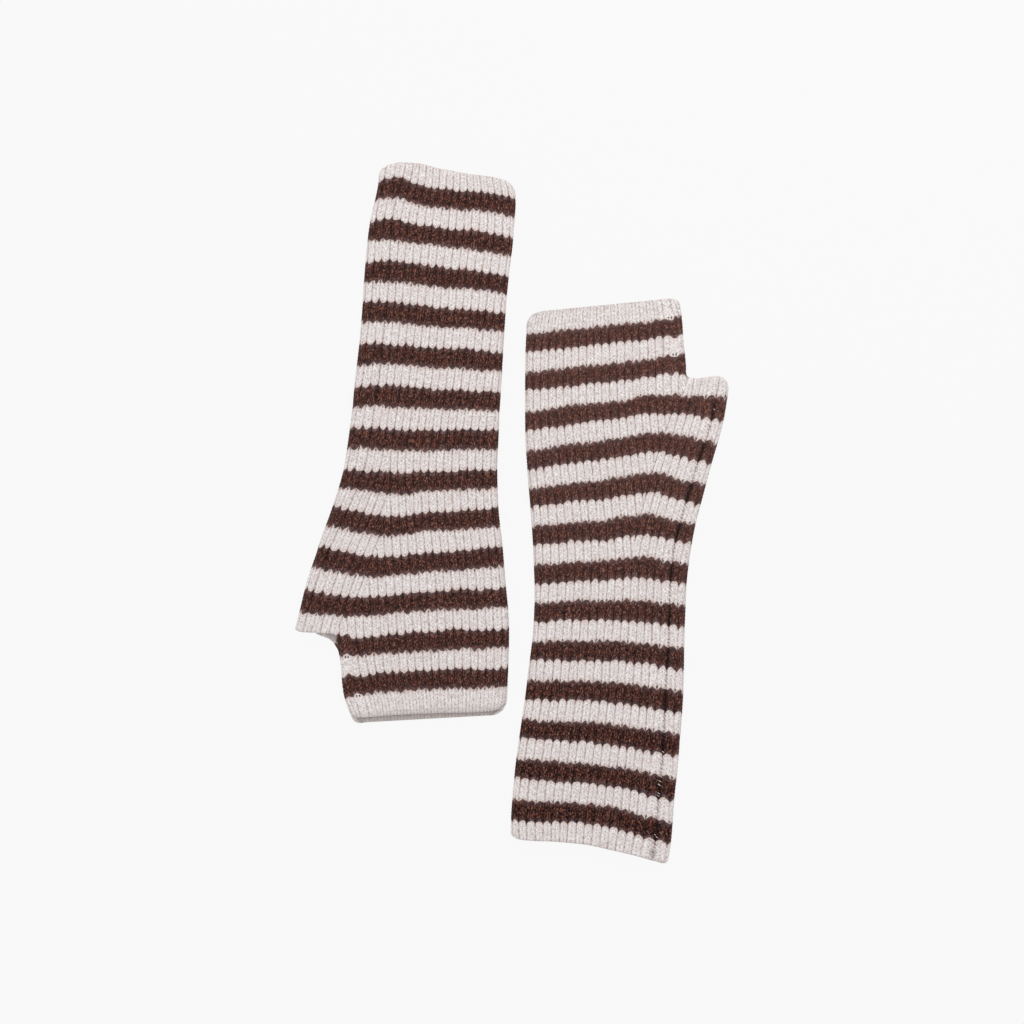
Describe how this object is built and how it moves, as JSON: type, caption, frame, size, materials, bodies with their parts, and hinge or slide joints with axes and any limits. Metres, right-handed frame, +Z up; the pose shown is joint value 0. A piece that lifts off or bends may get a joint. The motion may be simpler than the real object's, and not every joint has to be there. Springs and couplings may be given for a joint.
{
  "type": "pair of wrist warmers",
  "caption": "Pair of long fingerless wrist warmers in ribbed wool knitting, striped dark brown and oatmeal, each with a thumb opening, laid flat beside each other.",
  "frame": {"origin": "middle of the pair's footprint, on the surface that it lies on", "axes": "+Z up out of the cloth; +Y along the warmers, towards the finger end of the right one; +X from the left warmer to the right one"},
  "size_m": [0.2239, 0.3605, 0.007],
  "materials": {
    "striped_rib_knit": "soft matt ribbed lambswool knitting in dark brown and pale oatmeal stripes"
  },
  "bodies": {
    "root": {"right_front": "striped_rib_knit", "right_back": "striped_rib_knit", "left_front": "striped_rib_knit", "left_back": "striped_rib_knit"}
  },
  "joints": []
}
